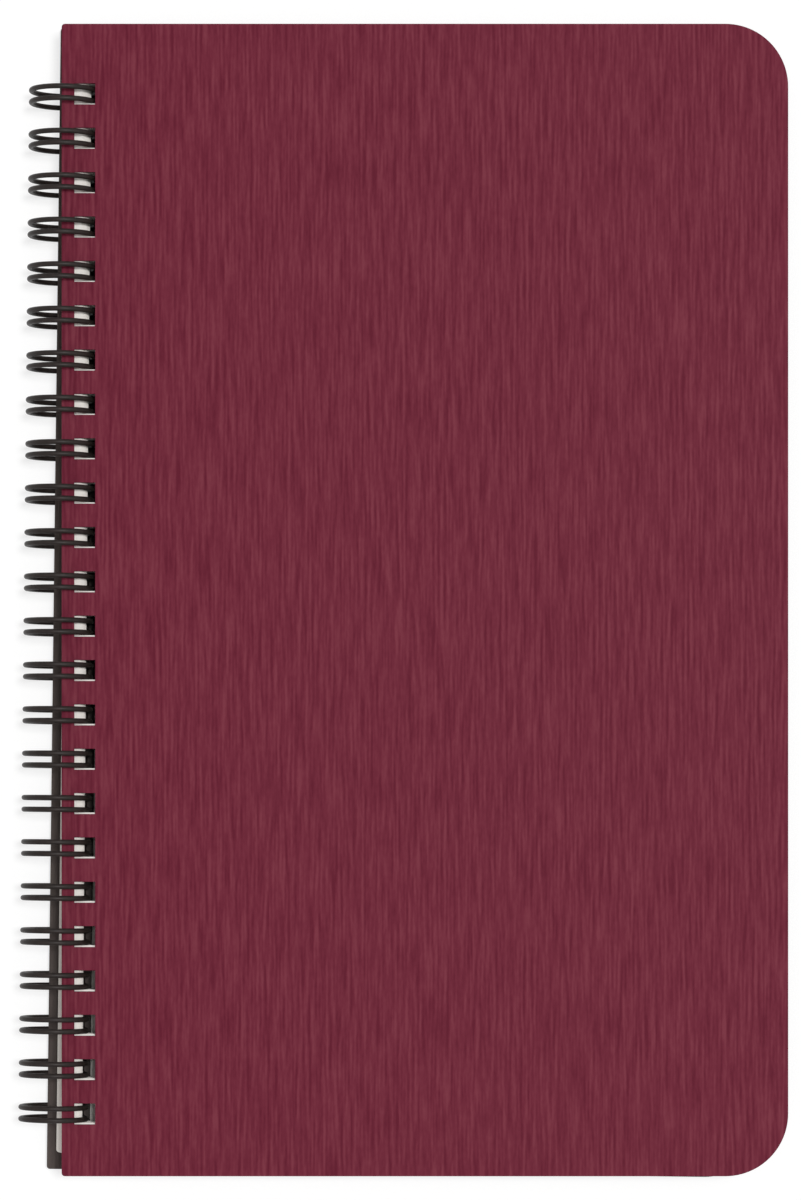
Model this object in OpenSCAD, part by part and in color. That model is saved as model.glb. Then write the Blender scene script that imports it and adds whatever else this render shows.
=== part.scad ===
// Notebook bound with a twin-loop wire, closed and lying on its back cover.
// +Y runs along the spine to the head, +X from the spine to the fore edge, +Z up.

/* [Covers] */
// Width of a cover, from its spine edge to its fore edge
cover_w = 138.7; // [120:0.1:160]
// Height of a cover, from head to tail
cover_h = 220; // [214:0.5:240]
// Thickness of a cover's plastic sheet
cover_t = 0.7; // [0.5:0.05:0.8]
// Radius of the two round corners at the fore edge
cover_corner_r = 12; // [4:0.5:20]
// Radius that softens the two corners at the spine edge
spine_corner_r = 0.6; // [0.3:0.1:2]
// Strip between a cover's spine edge and its holes
cover_margin = 2.4; // [1.8:0.1:4]
// How far the front cover reaches further past its holes at the head than at the tail, halved
front_punch_offset = 0.75; // [0:0.05:2]
// The same for the back cover
back_punch_offset = 1.2; // [0:0.05:2]
// Turn of the front cover against the wire, as far as its holes let it
front_cover_skew = 0.6; // [0:0.05:0.6]
// Turn of the back cover against the wire
back_cover_skew = -0.1; // [-0.1:0.01:0]

/* [Pages] */
// Width of a page, from its spine edge to its fore edge
page_w = 131; // [110:0.5:133]
// Height of a page, from head to tail
page_h = 211; // [204:0.5:212]
// Thickness of the whole stack of pages
page_stack_t = 7.8; // [6:0.1:8]
// Radius of the two round corners at the fore edge of a page
page_corner_r = 9; // [2:0.5:15]
// Radius that softens the two corners at the spine edge of a page
page_spine_corner_r = 0.5; // [0.3:0.1:2]
// Strip between a page's spine edge and its holes
page_margin = 2.4; // [1.8:0.1:4]
// Turn of the top pages against the wire, dragged round by the front cover
top_page_skew = 0.3; // [0:0.05:0.3]
// Distance from the wire at which the lifted underside of the pages is down on the back cover
page_lift_run = 32; // [20:1:60]

/* [Holes] */
// Side of a square hole
hole_size = 4; // [4:0.1:5]

/* [Wire] */
// Outside diameter of the closed loops
ring_d = 13.5; // [13.3:0.1:14.3]
// Diameter of the coated wire
wire_d = 1; // [0.7:0.05:1]
// Number of twin loops
loop_count = 24; // [10:1:24]
// Distance from one twin loop to the next, three to the inch
loop_pitch = 8.467; // [8.2:0.001:8.5]
// Distance between the two wires of a twin loop
twin_gap = 2.25; // [2:0.05:2.3]
// Bend radius where a loop turns into the straight wire at the base
base_bend_r = 1; // [0.9:0.05:1.2]

/* [Fits] */
// How far the pages and the back cover have slid to the head, as a share of their play on the wire
head_slip = 0.75; // [0:0.05:0.75]
// Play that is left for a cover's spine strip where it lies in the bottom of the loops
seat_play = 1; // [0.8:0.05:1.5]
// Clearance above and below the wire's base, between the pages and the back cover
base_gap = 0.08; // [0.05:0.01:0.2]
// Clearance between a loop's closed tip and the base bends beside it
tip_gap = 0.15; // [0.1:0.05:0.5]

/* [Hidden] */

ring_r = (ring_d - wire_d) / 2;
ring_in_r = ring_r - wire_d / 2;
ring_out_r = ring_r + wire_d / 2;
row_half = loop_pitch * (loop_count - 1) / 2;
twin_r = twin_gap / 2;
head_y = head_slip * (hole_size - twin_gap - wire_d) / 2;

// Heights above the axis of the loops
back_cover_z = -sqrt(pow(ring_in_r, 2) - pow((cover_margin + seat_play) / 2, 2));
page_z = back_cover_z + cover_t;
front_cover_z = page_z + page_stack_t;
base_z = page_z + base_gap + wire_d / 2;
lifted_page_z = base_z + wire_d / 2 + base_gap;

// Angles round the loops, from +X towards +Z
base_reach = norm([ring_r, base_bend_r]);
leg_end_a = asin(base_z / base_reach) - atan(base_bend_r / ring_r);
nest_across = twin_r + base_bend_r;
nest_reach = twin_r + base_bend_r + wire_d + tip_gap;
nest_along = sqrt(pow(nest_reach, 2) - pow(nest_across, 2));
tip_a = leg_end_a + nest_along / ring_r * 180 / PI;
leg_a = 360 + leg_end_a - tip_a;

// Each sheet has its own slip in the loops: at 0 its holes are hard against the inside
// of the wire, and at 1 it is as far out towards the spine as the wire lets it.
// The pages lie in bunches, and their slips run from the lowest bunch up.
bunch_slips = [0.57, 0.3, 0.12, 0.08, 0.06, 0.05];
bunch_count = len(bunch_slips);
bunch_t = page_stack_t / bunch_count;
front_cover_slip = 0.5;
back_cover_slip = 0.9;

// Where the inner and outer faces of the wire cross a height
function wire_in(z) = sqrt(max(0, pow(ring_in_r, 2) - pow(z, 2)));
function wire_out(z) = sqrt(max(0, pow(ring_out_r, 2) - pow(z, 2)));

// Distance from the loops' axis to the near side of the holes in a sheet from z0 to z1
function hole_x(z0, z1, margin, skew, slip) =
    let (near = min(wire_in(z0), wire_in(z1)))
    let (far = z0 * z1 < 0 ? ring_out_r : max(wire_out(z0), wire_out(z1)))
    let (swing = row_half * tan(abs(skew)))
    let (innermost = near - swing)
    let (outermost = max(margin - near, far - hole_size) + swing)
    innermost - slip * (innermost - outermost);

function cover_hole_x(z, skew, slip) = hole_x(z, z + cover_t, cover_margin, skew, slip);
back_hole_x = cover_hole_x(back_cover_z, back_cover_skew, back_cover_slip);
front_hole_x = cover_hole_x(front_cover_z, front_cover_skew, front_cover_slip);

// Place of the loops' axis and of their row's middle, with the whole notebook centred over the origin
ring_x = -(front_hole_x - cover_margin + cover_w - ring_out_r) / 2;
ring_y = -front_punch_offset - cover_w / 2 * sin(front_cover_skew);
ring_z = ring_out_r;

// How far pieces of one solid run into each other where they join
bunch_lap = 0.02;
base_lap = 0.05;
leg_lap_a = 3;

wire_fn = 36;
bend_fn = 72;
corner_fn = 96;

module sheet_outline(w, h, fore_r, spine_r) {
    translate([spine_r, -h / 2]) square([w - fore_r - spine_r, h]);
    translate([0, spine_r - h / 2]) square([w - fore_r, h - 2 * spine_r]);
    translate([spine_r, fore_r - h / 2]) square([w - spine_r, h - 2 * fore_r]);
    for (side = [-1, 1]) {
        translate([w - fore_r, side * (h / 2 - fore_r)]) circle(r = fore_r, $fn = corner_fn);
        translate([spine_r, side * (h / 2 - spine_r)]) circle(r = spine_r, $fn = corner_fn);
    }
}

module hole_row(margin) {
    for (i = [0 : loop_count - 1])
        translate([margin, i * loop_pitch - row_half - hole_size / 2]) square(hole_size);
}

module cover(z, hole_at, slip_y, skew, punch_offset) {
    rotate([0, 0, skew]) translate([hole_at - cover_margin, slip_y, z])
        linear_extrude(cover_t) difference() {
            translate([0, punch_offset]) sheet_outline(cover_w, cover_h, cover_corner_r, spine_corner_r);
            hole_row(cover_margin);
        }
}

module page_bunch(i) {
    z0 = page_z + i * bunch_t;
    z1 = z0 + bunch_t;
    skew = back_cover_skew + (top_page_skew - back_cover_skew) * i / (bunch_count - 1);
    hole_at = hole_x(max(z0, lifted_page_z), z1, page_margin, skew, bunch_slips[i]);
    lap = i < bunch_count - 1 ? bunch_lap : 0;
    rotate([0, 0, skew]) translate([hole_at - page_margin, head_y, z0])
        linear_extrude(bunch_t + lap) difference() {
            sheet_outline(page_w, page_h, page_corner_r, page_spine_corner_r);
            hole_row(page_margin);
        }
}

// Room under the pages for the wire's base, running out to nothing across the sheet
module page_lift() {
    flat_run = ring_out_r + hole_size / 2;
    rotate([90, 0, 0]) linear_extrude(2 * page_h, center = true)
        polygon([
            [-ring_out_r, page_z - wire_d],
            [page_lift_run, page_z - wire_d],
            [page_lift_run, page_z],
            [flat_run, lifted_page_z],
            [-ring_out_r, lifted_page_z]
        ]);
}

module wire_arc(r, angle) {
    rotate_extrude(angle = angle, $fn = bend_fn) translate([r, 0]) circle(d = wire_d, $fn = wire_fn);
}

// Half of a leg of a loop, leaving the line from the loops' axis along +X towards +Z
module half_leg() {
    translate([0, twin_r, 0]) rotate([90, 0, 0]) wire_arc(ring_r, leg_a / 2 + leg_lap_a);
}

// The closed tip, and the two legs that run on from it to the back of the loop
module loop_tip() {
    rotate([0, -tip_a, 0]) {
        translate([ring_r, 0, 0]) rotate([0, 90, 0]) rotate([0, 0, -90]) wire_arc(twin_r, 180);
        for (side = [0, 1]) mirror([0, side, 0]) half_leg();
    }
}

// One leg from the back of the loop to its end, and the bend into the straight wire at the base
module loop_base() {
    bend_y = twin_r + base_bend_r;
    rotate([0, -leg_end_a, 0]) {
        mirror([0, 0, 1]) half_leg();
        translate([ring_r, bend_y, 0]) {
            rotate([90, 0, 90]) rotate([0, 0, 90]) wire_arc(base_bend_r, 90);
            translate([0, 0, base_bend_r]) rotate([-90, 0, 0])
                cylinder(d = wire_d, h = loop_pitch / 2 - bend_y + base_lap, $fn = wire_fn);
        }
    }
}

module twin_loop() {
    loop_tip();
    for (side = [0, 1]) mirror([0, side, 0]) loop_base();
}

module in_place() {
    translate([ring_x, ring_y, ring_z]) children();
}

module wire_binding() {
    color([0.14, 0.12, 0.11]) in_place()
        for (i = [0 : loop_count - 1]) translate([0, i * loop_pitch - row_half, 0]) twin_loop();
}

module page_block() {
    color([0.93, 0.91, 0.87]) in_place() difference() {
        for (i = [0 : bunch_count - 1]) page_bunch(i);
        page_lift();
    }
}

module front_cover() {
    color([0.44, 0.18, 0.235]) in_place()
        cover(front_cover_z, front_hole_x, 0, front_cover_skew, front_punch_offset);
}

module back_cover() {
    color([0.29, 0.26, 0.247]) in_place()
        cover(back_cover_z, back_hole_x, head_y, back_cover_skew, back_punch_offset);
}

wire_binding();
page_block();
front_cover();
back_cover();
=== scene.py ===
"""Looks of a closed wire-bound notebook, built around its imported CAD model.

Lengths are named in millimetres, and mm() turns them into the frame's metres. In the frame
x runs from the spine to the fore edge, y along the spine to the head, and z up.
"""

import math
import random

import bmesh
import bpy
from mathutils import Matrix, Vector


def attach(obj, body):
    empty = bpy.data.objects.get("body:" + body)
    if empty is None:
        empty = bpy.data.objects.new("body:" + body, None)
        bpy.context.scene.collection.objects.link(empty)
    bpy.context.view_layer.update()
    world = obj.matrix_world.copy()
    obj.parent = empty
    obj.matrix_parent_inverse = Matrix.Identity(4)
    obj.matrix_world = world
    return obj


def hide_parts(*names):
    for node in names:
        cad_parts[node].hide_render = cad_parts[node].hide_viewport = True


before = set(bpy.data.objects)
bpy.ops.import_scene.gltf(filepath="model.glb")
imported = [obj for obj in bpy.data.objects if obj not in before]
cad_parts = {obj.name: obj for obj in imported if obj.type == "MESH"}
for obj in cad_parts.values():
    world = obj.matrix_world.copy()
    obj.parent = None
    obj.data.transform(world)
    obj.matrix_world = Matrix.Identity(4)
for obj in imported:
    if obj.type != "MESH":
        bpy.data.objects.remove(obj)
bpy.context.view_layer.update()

MM = 0.001


def mm(*lengths):
    """Millimetres to metres: one number, or a vector of three."""
    scaled = [length * MM for length in lengths]
    return scaled[0] if len(scaled) == 1 else Vector(scaled)


# Sizes, as in the part's source

# The wire: its loops' middle radius and its own
RING_R, WIRE_R = 6.25, 0.5
RING_IN_R, RING_OUT_R = RING_R - WIRE_R, RING_R + WIRE_R
LOOP_COUNT, LOOP_PITCH = 24, 8.467
ROW_HALF = LOOP_PITCH * (LOOP_COUNT - 1) / 2
# Half the distance between the two wires of a loop
TWIN_R = 1.125
BASE_BEND_R = 1.0

# The side of a square hole, and the strip between the holes and a sheet's spine edge
HOLE, MARGIN = 4.0, 2.4
COVER_W, COVER_H, COVER_T = 138.7, 220.0, 0.7
COVER_CORNER_R, COVER_SPINE_R = 12.0, 0.6
PAGE_W, PAGE_H, STACK_T = 131.0, 211.0, 7.8
PAGE_CORNER_R, PAGE_SPINE_R = 9.0, 0.5
# How far a cover reaches further past its holes at the head than at the tail, halved
FRONT_PUNCH, BACK_PUNCH = 0.75, 1.2
# Turns of the sheets against the wire
FRONT_TURN, TOP_PAGE_TURN, BACK_TURN = [math.radians(deg) for deg in (0.6, 0.3, -0.1)]

# Clearances
SEAT_PLAY, BASE_GAP, TIP_GAP = 1.0, 0.08, 0.15
# How far the pages and the back cover have slid to the head, first as a share of their play
HEAD_SLIP = 0.75
HEADWARD = HEAD_SLIP * (HOLE / 2 - TWIN_R - WIRE_R)

# Heights above the rings' axis
BACK_Z = -math.sqrt(RING_IN_R**2 - ((MARGIN + SEAT_PLAY) / 2) ** 2)
PAGES_LOW_Z = BACK_Z + COVER_T
FRONT_Z = PAGES_LOW_Z + STACK_T
BASE_Z = PAGES_LOW_Z + BASE_GAP + WIRE_R
PAGES_LIFTED_Z = BASE_Z + WIRE_R + BASE_GAP

# Angles round the rings' axis, from +x towards +z, at which a leg ends and its tip lies
BASE_BEND_A = math.atan(BASE_BEND_R / RING_R)
LEG_END = math.asin(BASE_Z / math.hypot(RING_R, BASE_BEND_R)) - BASE_BEND_A
NEST_ACROSS = TWIN_R + BASE_BEND_R
NEST_REACH = NEST_ACROSS + 2 * WIRE_R + TIP_GAP
TIP = LEG_END + math.sqrt(NEST_REACH**2 - NEST_ACROSS**2) / RING_R


def hole_x_at(z0, z1, turn, slip):
    """How far out from the rings' axis a sheet's holes begin. At slip 0 they are hard against
    the inside of the wire, and at 1 as near to the spine as the wire lets them."""
    near = math.sqrt(RING_IN_R**2 - max(abs(z0), abs(z1)) ** 2)
    far = RING_OUT_R
    if z0 * z1 > 0:
        far = math.sqrt(RING_OUT_R**2 - min(abs(z0), abs(z1)) ** 2)
    swing = ROW_HALF * math.tan(abs(turn))
    innermost = near - swing
    outermost = max(MARGIN - near, far - HOLE) + swing
    return innermost - slip * (innermost - outermost)


FRONT_HOLE_X = hole_x_at(FRONT_Z, FRONT_Z + COVER_T, FRONT_TURN, slip=0.5)
BACK_HOLE_X = hole_x_at(BACK_Z, BACK_Z + COVER_T, BACK_TURN, slip=0.9)

# The middle of the row of rings, with the notebook centred over the frame's origin
RING_X = -(FRONT_HOLE_X - MARGIN + COVER_W - RING_OUT_R) / 2
RING_Y = -FRONT_PUNCH - COVER_W / 2 * math.sin(FRONT_TURN)
RING_Z = RING_OUT_R

# Small tools

# Nearer than this, two places in a mesh are one
SAME = 0.01


def linear(code):
    """An sRGB hex colour as the linear RGBA that a shader socket takes."""
    channels = [int(code[i : i + 2], 16) / 255 for i in (1, 3, 5)]
    return [
        c / 12.92 if c <= 0.04045 else ((c + 0.055) / 1.055) ** 2.4 for c in channels
    ] + [1.0]


def select_only(piece):
    """Selects this piece alone, and makes it the active one."""
    bpy.ops.object.select_all(action="DESELECT")
    piece.select_set(True)
    bpy.context.view_layer.objects.active = piece


def start_piece(name, primitive, **settings):
    """Adds a primitive with nothing else selected, and leaves it in edit mode, all selected."""
    bpy.ops.object.select_all(action="DESELECT")
    primitive(**settings)
    piece = bpy.context.object
    piece.name = piece.data.name = name
    bpy.ops.object.mode_set(mode="EDIT")
    bpy.ops.mesh.select_all(action="SELECT")
    return piece


def pick(piece, kind, test):
    """Selects the verts or faces whose middle passes the test, in edit mode."""
    bpy.ops.mesh.select_mode(type=kind[:-1].upper())
    bpy.ops.mesh.select_all(action="DESELECT")
    shape = bmesh.from_edit_mesh(piece.data)
    for part in getattr(shape, kind):
        middle = part.co if kind == "verts" else part.calc_center_median()
        if test(middle, part):
            part.select_set(True)
    shape.select_flush_mode()
    bmesh.update_edit_mesh(piece.data)


def finish_modifier(piece, kind, **settings):
    """Adds a modifier to the piece and applies it."""
    select_only(piece)
    modifier = piece.modifiers.new(kind.lower(), kind)
    for key, value in settings.items():
        setattr(modifier, key, value)
    bpy.ops.object.modifier_apply(modifier=modifier.name)


def smooth(piece, crease_deg):
    """Smooth shading, with creases kept where faces turn by more than the angle."""
    select_only(piece)
    bpy.ops.object.shade_smooth_by_angle(angle=math.radians(crease_deg))


def beside_rings(x, y, z, turn):
    """The place x, y and z away from the rings' middle, all turned about that middle."""
    return (
        Matrix.Translation(mm(RING_X, RING_Y, RING_Z))
        @ Matrix.Rotation(turn, 4, "Z")
        @ Matrix.Translation(mm(x, y, z))
    )


# Sheets

# Faces round a sheet's small corners at the spine edge
SPINE_STEPS = 3


def punched_sheet(name, width, height, fore_r, spine_r, offset_y, fore_steps, cuts=()):
    """A flat blank with round corners and its row of square holes. Its x starts at the near
    side of the holes, its middle is offset_y to the head of theirs, and it can bend at cuts."""
    middle_x = width / 2 - MARGIN
    sheet = start_piece(name, bpy.ops.mesh.primitive_plane_add, size=1)
    bpy.ops.transform.resize(value=mm(width, height, 1))
    bpy.ops.transform.translate(value=mm(middle_x, offset_y, 0))
    ends = ((fore_r, fore_steps, True), (spine_r, SPINE_STEPS, False))
    for radius, steps, at_fore in ends:
        pick(sheet, "verts", lambda co, v: (co.x > mm(middle_x)) == at_fore)
        bpy.ops.mesh.bevel(
            affect="VERTICES", offset=mm(radius), segments=steps, profile=0.5
        )
    hole_edges = [
        i * LOOP_PITCH - ROW_HALF + side * HOLE / 2
        for i in range(LOOP_COUNT)
        for side in (-1, 1)
    ]
    lines = [((0, y, 0), (0, 1, 0)) for y in hole_edges]
    lines += [((x, 0, 0), (1, 0, 0)) for x in (0, HOLE, *cuts)]
    for point, normal in lines:
        bpy.ops.mesh.select_all(action="SELECT")
        bpy.ops.mesh.bisect(plane_co=mm(*point), plane_no=normal)

    def in_hole(co, face):
        step = (co.y / MM + ROW_HALF) / LOOP_PITCH
        near = abs(step - round(step)) * LOOP_PITCH < HOLE / 2
        in_row = -0.5 < step < LOOP_COUNT - 0.5
        return in_row and near and 0 < co.x / MM < HOLE

    pick(sheet, "faces", in_hole)
    bpy.ops.mesh.delete(type="FACE")
    # The field beside the holes needs no cross lines, so each strip becomes one face
    stations = [HOLE, *cuts, width]
    for low, high in zip(stations, stations[1:]):
        pick(sheet, "faces", lambda co, f: low < co.x / MM < high)
        bpy.ops.mesh.dissolve_faces()
    # The points that the cross lines left along the cuts go too
    for low, high in zip(stations[1:-1], stations[2:]):
        pick(
            sheet,
            "verts",
            lambda co, v: low - SAME < co.x / MM < high + SAME
            and len(v.link_edges) == 2
            and abs(co.y / MM - offset_y) < height / 2 - SAME
            and co.x / MM < width - MARGIN - fore_r,
        )
        bpy.ops.mesh.dissolve_verts()
    bpy.ops.object.mode_set(mode="OBJECT")
    return sheet


# How much of a cover's cut edge is broken
BROKEN_EDGE = 0.07


def cover(name, hole_x, z, turn, offset_y, slide=0.0):
    """A cover cut from plastic sheet, its cut edges just broken."""
    sheet = punched_sheet(
        name, COVER_W, COVER_H, COVER_CORNER_R, COVER_SPINE_R, offset_y, fore_steps=24
    )
    finish_modifier(sheet, "SOLIDIFY", thickness=mm(COVER_T), offset=1.0)
    finish_modifier(
        sheet,
        "BEVEL",
        width=mm(BROKEN_EDGE),
        segments=2,
        limit_method="ANGLE",
        angle_limit=math.radians(50),
    )
    smooth(sheet, crease_deg=35)
    # Only the broken edges shade round, and the two faces stay flat
    finish_modifier(sheet, "WEIGHTED_NORMAL", keep_sharp=True)
    sheet.data.transform(beside_rings(hole_x, slide, z, turn))
    return sheet


front_cover = cover(
    "front_cover_sheet", FRONT_HOLE_X, FRONT_Z, FRONT_TURN, FRONT_PUNCH
)
back_cover = cover(
    "back_cover_sheet", BACK_HOLE_X, BACK_Z, BACK_TURN, BACK_PUNCH, HEADWARD
)

# Pages

LEAF_COUNT, LEAF_T = 60, 0.1
# Distances from the rings' axis between which the leaves come down from over the wire's base
LIFT_START, LIFT_END = RING_OUT_R + HOLE / 2, 32.0
BEND_STRIPS = 8
# How far each sixth of the stack has slipped out in the loops, from the lowest leaves up
SLIPS = [0.57, 0.3, 0.12, 0.08, 0.06, 0.05]
# The most that a leaf strays from its place in the stack, and the seed that the chances take
STRAY_TURN, STRAY_SLIP, STRAY_SLIDE = math.radians(0.015), 0.03, 0.07
STRAY_SEED = 11
# The side of the leaves' UV map, and the place on it of a leaf's own origin
CHART_SIDE, CHART_ORIGIN = 250.0, (0.1, 0.5)


def eased(t):
    """From 0 to 1 with a soft start and end, and level beyond them."""
    t = min(1.0, max(0.0, t))
    return t * t * (3 - 2 * t)


def slip_at(share):
    """Slip of a leaf at a share of the stack's height."""
    place = min(len(SLIPS) - 1.0, max(0.0, share * len(SLIPS) - 0.5))
    low = min(int(place), len(SLIPS) - 2)
    return SLIPS[low] + (SLIPS[low + 1] - SLIPS[low]) * (place - low)


def page_block():
    """Loose leaves, pressed together where they pass over the wire's base."""
    lift_run = LIFT_END - LIFT_START
    cuts = [LIFT_START + lift_run * i / BEND_STRIPS for i in range(BEND_STRIPS + 1)]
    leaf = punched_sheet(
        "leaf", PAGE_W, PAGE_H, PAGE_CORNER_R, PAGE_SPINE_R, 0.0, fore_steps=8, cuts=cuts
    )
    finish_modifier(leaf, "SOLIDIFY", thickness=mm(LEAF_T), offset=1.0)
    chart = leaf.data.uv_layers.new(name="sheet")
    for loop in leaf.data.loops:
        co = leaf.data.vertices[loop.vertex_index].co
        chart.data[loop.index].uv = [
            length / mm(CHART_SIDE) + origin
            for length, origin in zip(co.xy, CHART_ORIGIN)
        ]
    chance = random.Random(STRAY_SEED)
    leaves = []
    for k in range(LEAF_COUNT):
        share = (k + 0.5) / LEAF_COUNT
        turn = BACK_TURN + (TOP_PAGE_TURN - BACK_TURN) * share
        near_z = PAGES_LIFTED_Z + (FRONT_Z - PAGES_LIFTED_Z) * k / LEAF_COUNT
        far_z = PAGES_LOW_Z + (FRONT_Z - PAGES_LOW_Z) * k / LEAF_COUNT
        turn += chance.uniform(-STRAY_TURN, STRAY_TURN)
        slip = slip_at(share) + chance.uniform(0, STRAY_SLIP)
        slide = HEADWARD + chance.uniform(-STRAY_SLIDE, STRAY_SLIDE)
        hole_x = hole_x_at(near_z, near_z + LEAF_T, turn, slip)
        mesh = leaf.data.copy()
        for v in mesh.vertices:
            down = eased((v.co.x / MM + hole_x - LIFT_START) / lift_run)
            v.co.z += mm(near_z + (far_z - near_z) * down)
        mesh.transform(beside_rings(hole_x, slide, 0, turn))
        copy = bpy.data.objects.new(f"leaf_{k}", mesh)
        bpy.context.scene.collection.objects.link(copy)
        leaves.append(copy)
    bpy.data.objects.remove(leaf)
    select_only(leaves[0])
    for piece in leaves:
        piece.select_set(True)
    bpy.ops.object.join()
    leaves[0].name = leaves[0].data.name = "page_leaves"
    return leaves[0]


pages = page_block()

# Wire

SECTION_SIDES = 14
TIP_STEPS, LEG_STEPS, BEND_STEPS = 14, 72, 8


def directions_at(angle):
    """At an angle round the rings' axis, the direction out from it, and the leg's own."""
    return (
        Vector((math.cos(angle), 0, math.sin(angle))),
        Vector((-math.sin(angle), 0, math.cos(angle))),
    )


def wire_binding():
    """One twin loop, spun from a ring of the wire's section, then repeated along the spine."""
    axis = mm(RING_X, RING_Y, RING_Z)
    tip_out, tip_along = directions_at(TIP)
    end_out, end_along = directions_at(LEG_END)
    tip = axis + tip_out * mm(RING_R)
    wire = start_piece(
        "coated_wire",
        bpy.ops.mesh.primitive_circle_add,
        vertices=SECTION_SIDES,
        radius=mm(WIRE_R),
        fill_type="NOTHING",
    )
    bpy.ops.object.mode_set(mode="OBJECT")
    facing = Vector((0, 0, 1)).rotation_difference(tip_along).to_matrix().to_4x4()
    wire.data.transform(Matrix.Translation(tip + mm(0, TWIN_R, 0)) @ facing)
    bpy.ops.object.mode_set(mode="EDIT")

    def pick_end(point, along):
        """Selects the ring of the wire's section that stands about a point of its path."""
        pick(
            wire,
            "verts",
            lambda co, v: (co - point).length < mm(WIRE_R + 2 * SAME)
            and abs((co - point).dot(along)) < mm(2 * SAME),
        )

    bpy.ops.mesh.select_all(action="SELECT")
    bpy.ops.mesh.spin(
        steps=TIP_STEPS, angle=math.pi, center=tip, axis=tip_out, use_auto_merge=False
    )
    for side in (1, -1):
        pick_end(tip + mm(0, side * TWIN_R, 0), tip_along)
        bpy.ops.mesh.spin(
            steps=LEG_STEPS,
            angle=2 * math.pi + LEG_END - TIP,
            center=axis,
            axis=(0, 1, 0),
            use_auto_merge=False,
        )
        leg_end = axis + end_out * mm(RING_R) + mm(0, side * TWIN_R, 0)
        bend_middle = leg_end + mm(0, side * BASE_BEND_R, 0)
        pick_end(leg_end, end_along)
        bpy.ops.mesh.spin(
            steps=BEND_STEPS,
            angle=side * math.pi / 2,
            center=bend_middle,
            axis=end_out,
            use_auto_merge=False,
        )
        pick_end(bend_middle + end_along * mm(BASE_BEND_R), Vector((0, 1, 0)))
        run = LOOP_PITCH / 2 - TWIN_R - BASE_BEND_R
        bpy.ops.mesh.extrude_region_move(
            TRANSFORM_OT_translate={"value": mm(0, side * run, 0)}
        )
    bpy.ops.mesh.select_all(action="SELECT")
    bpy.ops.transform.translate(value=mm(0, -ROW_HALF, 0))
    bpy.ops.object.mode_set(mode="OBJECT")
    finish_modifier(
        wire,
        "ARRAY",
        count=LOOP_COUNT,
        use_relative_offset=False,
        use_constant_offset=True,
        constant_offset_displace=mm(0, LOOP_PITCH, 0),
        use_merge_vertices=True,
        merge_threshold=mm(2 * SAME),
    )
    # The wire's two cut ends get their faces
    bpy.ops.object.mode_set(mode="EDIT")
    bpy.ops.mesh.select_all(action="DESELECT")
    bpy.ops.mesh.select_non_manifold()
    bpy.ops.mesh.edge_face_add()
    bpy.ops.mesh.select_all(action="SELECT")
    bpy.ops.mesh.normals_make_consistent(inside=False)
    bpy.ops.object.mode_set(mode="OBJECT")
    smooth(wire, crease_deg=50)
    return wire


wire = wire_binding()

# Materials

# A Mix node has sockets for each kind of value, and these are its factor, colours and result
MIX_BY, MIX_UNDER, MIX_OVER, MIXED = 0, 6, 7, 2


def add(tree, kind, inputs=None, out=None, stops=(), **settings):
    """Adds a shader node with its settings and a ramp's (place, sRGB hex) stops. An input is
    a value, or a socket to link. Gives the output of that name or number, or else the node."""
    node = tree.nodes.new("ShaderNode" + kind)
    for key, value in settings.items():
        setattr(node, key, value)
    for key, value in (inputs or {}).items():
        if isinstance(value, bpy.types.NodeSocket):
            tree.links.new(value, node.inputs[key])
        else:
            node.inputs[key].default_value = value
    for i, (place, code) in enumerate(stops):
        marks = node.color_ramp.elements
        mark = marks[i] if i < len(marks) else marks.new(place)
        mark.position = place
        mark.color = linear(code)
    return node if out is None else node.outputs[out]


def new_material(name):
    """An empty material and its node tree."""
    material = bpy.data.materials.new(name)
    material.use_nodes = True
    material.node_tree.nodes.clear()
    return material, material.node_tree


def close_material(piece, material, shader):
    """Gives the shader to the material's output, and the material to the piece."""
    add(material.node_tree, "OutputMaterial", {"Surface": shader})
    piece.data.materials.clear()
    piece.data.materials.append(material)


def cut_edge(tree, low, high):
    """0 on a sheet's two faces and 1 on its cut edges, told by how level the surface is."""
    normal = add(tree, "TexCoord", out="Normal")
    z = add(tree, "SeparateXYZ", {"Vector": normal}, "Z")
    level = add(tree, "Math", {0: z}, "Value", operation="ABSOLUTE")
    limits = {"From Min": low, "From Max": high, "To Min": 1.0, "To Max": 0.0}
    return add(tree, "MapRange", {"Value": level, **limits}, "Result")


# Width and length of each layer of threads in a cover's emboss, and its share. They lie over
# each other, and the last layer is of short nicks.
THREADS = (
    (0.66, 14.8, 0.32),
    (0.56, 9.6, 0.32),
    (0.46, 4.4, 0.24),
    (0.4, 1.2, 0.12),
)


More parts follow.
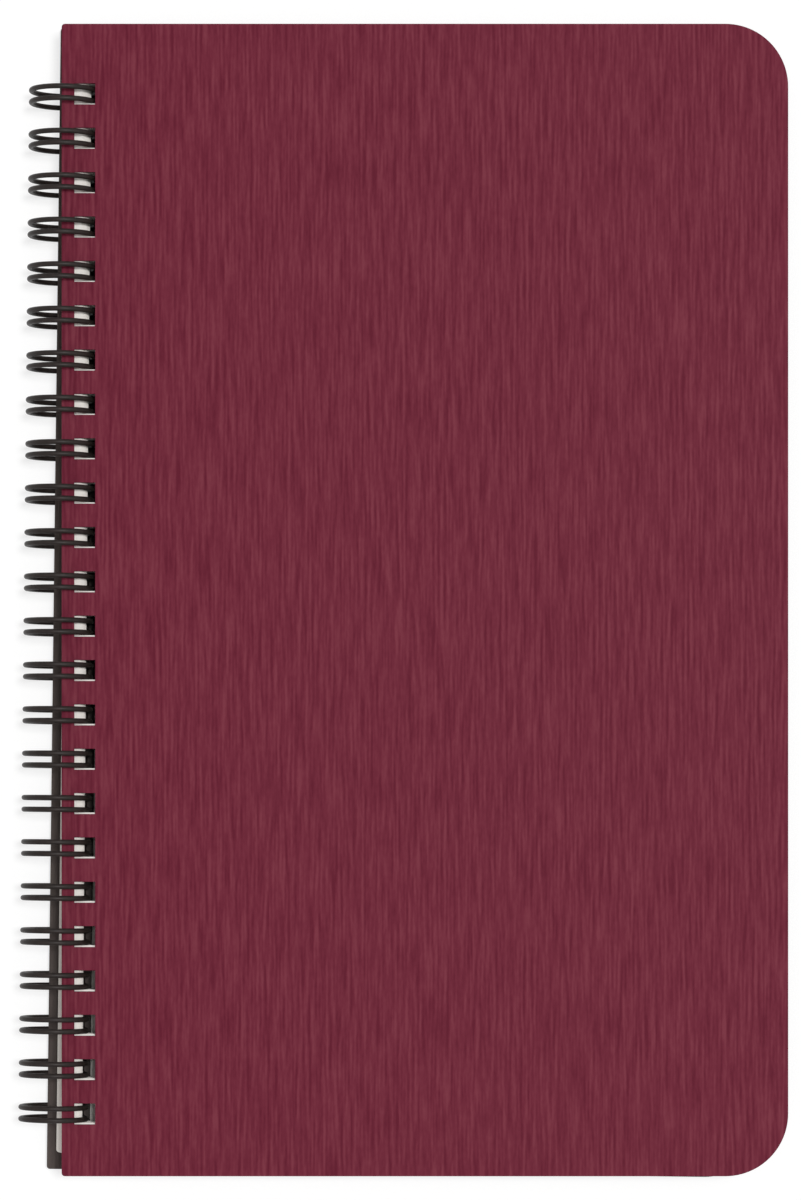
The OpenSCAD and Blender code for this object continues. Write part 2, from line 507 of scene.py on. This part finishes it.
def brushed_polypropylene(piece, name, turn, stops, edge_code):
    """Extruded polypropylene sheet, embossed with fine wavy threads that run head to tail.
    The emboss makes it matte, with faint streaks; its punched edges are smoother and darker."""
    material, tree = new_material(name)
    place = add(tree, "TexCoord", out="Object")
    along = add(tree, "Mapping", {"Vector": place, "Rotation": (0, 0, -turn)}, "Vector")
    threads = 0.0
    for width_mm, length_mm, share in THREADS:
        cells = (1 / mm(width_mm), 1 / mm(length_mm), 1.0)
        stretched = add(tree, "Mapping", {"Vector": along, "Scale": cells}, "Vector")
        layer = add(
            tree,
            "TexNoise",
            {"Vector": stretched, "Scale": 1.0, "Detail": 0.0},
            "Fac",
            noise_dimensions="2D",
        )
        summed = {0: layer, 1: share, 2: threads}
        threads = add(tree, "Math", summed, "Value", operation="MULTIPLY_ADD")
    streaks = add(tree, "ValToRGB", {"Fac": threads}, "Color", stops)
    edge = cut_edge(tree, low=0.55, high=0.9)
    colours = {MIX_BY: edge, MIX_UNDER: streaks, MIX_OVER: linear(edge_code)}
    relief = {"Height": threads, "Strength": 0.35, "Distance": mm(0.05)}
    shader = add(
        tree,
        "BsdfPrincipled",
        {
            "Base Color": add(tree, "Mix", colours, MIXED, data_type="RGBA"),
            "Roughness": 0.55,
            "IOR": 1.49,
            "Specular IOR Level": 0.1,
            "Normal": add(tree, "Bump", relief, "Normal"),
        },
        "BSDF",
    )
    close_material(piece, material, shader)


brushed_polypropylene(
    front_cover,
    "embossed polypropylene, claret",
    FRONT_TURN,
    [(0.3, "#5A0E25"), (0.5, "#671D30"), (0.7, "#732C3B")],
    "#5C1A2A",
)
brushed_polypropylene(
    back_cover,
    "embossed polypropylene, umber",
    BACK_TURN,
    [(0.3, "#443C39"), (0.5, "#4A423F"), (0.7, "#514945")],
    "#3A3330",
)

# The ruling's pitch, the width and colour of its lines, and that colour's share over the paper
RULE_PITCH, RULE_W, RULE_COLOUR, RULE_SHARE = 7.0, 0.22, "#A9B2BA", 0.6
# It runs from this far past the holes' near side to the fore edge, and between these heights
# from the middle of their row
RULE_START, RULE_TAIL, RULE_HEAD = 8.0, -97.0, 85.0


def uncoated_paper(piece):
    """Wood-free writing paper, a warm white with a faint grey ruling. Part of its warmth and
    darkness is painted shade. It has no gloss.
    """
    material, tree = new_material("uncoated writing paper")
    place = add(tree, "TexCoord", out="Object")
    # Fibre clouds are about 0.8 mm across
    clouds = {"Vector": place, "Scale": 1 / mm(0.8), "Detail": 4.0, "Roughness": 0.6}
    fibres = add(tree, "TexNoise", clouds, "Fac")
    # These tones are partly painted shade: the white is pulled darker and warmer, towards paper
    # shaded by the wire and the cover in the holes
    tones = [(0.3, "#EEE9E3"), (0.7, "#F4F0EB")]
    paper = add(tree, "ValToRGB", {"Fac": fibres}, "Color", tones)
    chart = add(tree, "UVMap", out="UV", uv_map="sheet")
    split = add(tree, "SeparateXYZ", {"Vector": chart})
    across, height = [
        add(
            tree,
            "Math",
            {0: split.outputs[side], 1: CHART_SIDE, 2: -CHART_SIDE * origin},
            "Value",
            operation="MULTIPLY_ADD",
        )
        for side, origin in zip("XY", CHART_ORIGIN)
    ]
    folds = {0: height, 1: RULE_PITCH / 2}
    off_line = add(tree, "Math", folds, "Value", operation="PINGPONG")
    line = RULE_SHARE
    for value, comparison, limit in (
        (off_line, "LESS_THAN", RULE_W / 2),
        (height, "GREATER_THAN", RULE_TAIL),
        (height, "LESS_THAN", RULE_HEAD),
        (across, "GREATER_THAN", RULE_START),
        (cut_edge(tree, low=0.5, high=0.9), "LESS_THAN", 0.5),
    ):
        inside = add(tree, "Math", {0: value, 1: limit}, "Value", operation=comparison)
        line = add(tree, "Math", {0: inside, 1: line}, "Value", operation="MULTIPLY")
    colours = {MIX_BY: line, MIX_UNDER: paper, MIX_OVER: linear(RULE_COLOUR)}
    relief = {"Height": fibres, "Strength": 0.15, "Distance": mm(0.02)}
    shader = add(
        tree,
        "BsdfPrincipled",
        {
            "Base Color": add(tree, "Mix", colours, MIXED, data_type="RGBA"),
            "Roughness": 0.9,
            "IOR": 1.5,
            "Specular IOR Level": 0.2,
            "Normal": add(tree, "Bump", relief, "Normal"),
        },
        "BSDF",
    )
    close_material(piece, material, shader)


uncoated_paper(pages)


def nylon_coated_wire(piece):
    """Steel wire in a thin black nylon coat, satin, with the faint ripple of a dipped skin."""
    material, tree = new_material("nylon-coated steel wire, black")
    place = add(tree, "TexCoord", out="Object")
    # The coat ripples every 0.7 mm or so
    waves = {"Vector": place, "Scale": 1 / mm(0.7), "Detail": 2.0}
    ripple = add(tree, "TexNoise", waves, "Fac")
    tones = [(0.3, "#1B1513"), (0.7, "#271F1C")]
    relief = {"Height": ripple, "Strength": 0.25, "Distance": mm(0.03)}
    shader = add(
        tree,
        "BsdfPrincipled",
        {
            "Base Color": add(tree, "ValToRGB", {"Fac": ripple}, "Color", tones),
            "Roughness": 0.45,
            "IOR": 1.53,
            "Specular IOR Level": 0.2,
            "Normal": add(tree, "Bump", relief, "Normal"),
        },
        "BSDF",
    )
    close_material(piece, material, shader)


nylon_coated_wire(wire)

# Floor, light and camera

TABLE_SIZE = 8000.0
# The table is pale in the light that it throws on the notebook. The camera sees it greyer,
# under a glow that makes it white and keeps its shadow soft.
TABLE_LIT, TABLE_SEEN = "#E6E4E2", "#9A9A9A"
# The lamp lights the far table less, so the glow grows between these distances
NEAR_TABLE, FAR_TABLE = 600.0, 3000.0
NEAR_GLOW, FAR_GLOW = 0.7, 0.9
# Strength of the even light from all round, where 1 is white
FILL = 0.52
LAMP_PLACE, LAMP_SIZE, LAMP_WATTS = (1050.0, 300.0, 4900.0), 900.0, 138.0


def studio_white(tree):
    """1 where the camera, or a reflection, looks at the studio, and 0 for its light."""
    path = add(tree, "LightPath")
    seen = 0.0
    for ray in ("Is Camera Ray", "Is Glossy Ray", "Is Transmission Ray"):
        either = {0: path.outputs[ray], 1: seen}
        seen = add(tree, "Math", either, "Value", operation="ADD", use_clamp=True)
    return seen


def lay_floor():
    """A matte white table top that keeps the notebook's shadow."""
    floor = start_piece(
        "table_top", bpy.ops.mesh.primitive_plane_add, size=mm(TABLE_SIZE)
    )
    bpy.ops.object.mode_set(mode="OBJECT")
    material, tree = new_material("matte white table")
    white = studio_white(tree)
    lit, seen = linear(TABLE_LIT), linear(TABLE_SEEN)
    colours = {MIX_BY: white, MIX_UNDER: lit, MIX_OVER: seen}
    place = add(tree, "TexCoord", out="Object")
    away = add(tree, "VectorMath", {0: place}, "Value", operation="LENGTH")
    limits = {
        "From Min": mm(NEAR_TABLE),
        "From Max": mm(FAR_TABLE),
        "To Min": NEAR_GLOW,
        "To Max": FAR_GLOW,
    }
    glow = add(tree, "MapRange", {"Value": away, **limits}, "Result")
    seen_glow = add(tree, "Math", {0: white, 1: glow}, "Value", operation="MULTIPLY")
    shader = add(
        tree,
        "BsdfPrincipled",
        {
            "Base Color": add(tree, "Mix", colours, MIXED, data_type="RGBA"),
            "Roughness": 1.0,
            "Specular IOR Level": 0.0,
            "Emission Color": (1, 1, 1, 1),
            "Emission Strength": seen_glow,
        },
        "BSDF",
    )
    close_material(floor, material, shader)


def light_studio():
    """A white room that lights from all round, and a soft box high over the notebook."""
    world = bpy.data.worlds.new("studio")
    bpy.context.scene.world = world
    world.use_nodes = True
    tree = world.node_tree
    tree.nodes.clear()
    levels = {0: studio_white(tree), 1: 1.0 - FILL, 2: FILL}
    strength = add(tree, "Math", levels, "Value", operation="MULTIPLY_ADD")
    sky = {"Color": (1, 1, 1, 1), "Strength": strength}
    add(tree, "OutputWorld", {"Surface": add(tree, "Background", sky, "Background")})

    light = bpy.data.lights.new("soft box", "AREA")
    light.shape = "SQUARE"
    light.size = mm(LAMP_SIZE)
    light.energy = LAMP_WATTS
    lamp = bpy.data.objects.new("soft box", light)
    lamp.location = mm(*LAMP_PLACE)
    lamp.rotation_euler = (-lamp.location).to_track_quat("-Z", "Y").to_euler()
    bpy.context.scene.collection.objects.link(lamp)


# The camera stands this high over the front cover, and this far to the tail of its middle
CAMERA_HEIGHT, TAILWARD = 850.0, 43.6
# The scale at the cover, and how far to the right of the picture's middle the cover's lies
PIXELS_PER_MM, RIGHTWARD_PX = 5.239, 24.4
IMAGE_H_PX = 1200


def place_camera():
    """A camera that looks straight down, square to the cover, its lens shifted to frame it."""
    camera = bpy.data.cameras.new("camera")
    camera.lens = PIXELS_PER_MM * CAMERA_HEIGHT * camera.sensor_width / IMAGE_H_PX
    camera.shift_x = -RIGHTWARD_PX / IMAGE_H_PX
    camera.shift_y = PIXELS_PER_MM * TAILWARD / IMAGE_H_PX
    camera.clip_start, camera.clip_end = mm(10), mm(20000)
    holder = bpy.data.objects.new("camera", camera)
    holder.matrix_world = beside_rings(
        FRONT_HOLE_X - MARGIN + COVER_W / 2,
        FRONT_PUNCH - TAILWARD,
        FRONT_Z + COVER_T + CAMERA_HEIGHT,
        FRONT_TURN,
    )
    bpy.context.scene.collection.objects.link(holder)
    bpy.context.scene.camera = holder


lay_floor()
light_studio()
place_camera()
bpy.context.scene.view_settings.view_transform = "Standard"

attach(wire, "binding")
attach(pages, "binding")
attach(front_cover, "front")
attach(back_cover, "back")
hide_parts("wire_binding")
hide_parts("page_block")
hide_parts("front_cover")
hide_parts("back_cover")


bpy.context.view_layer.update()
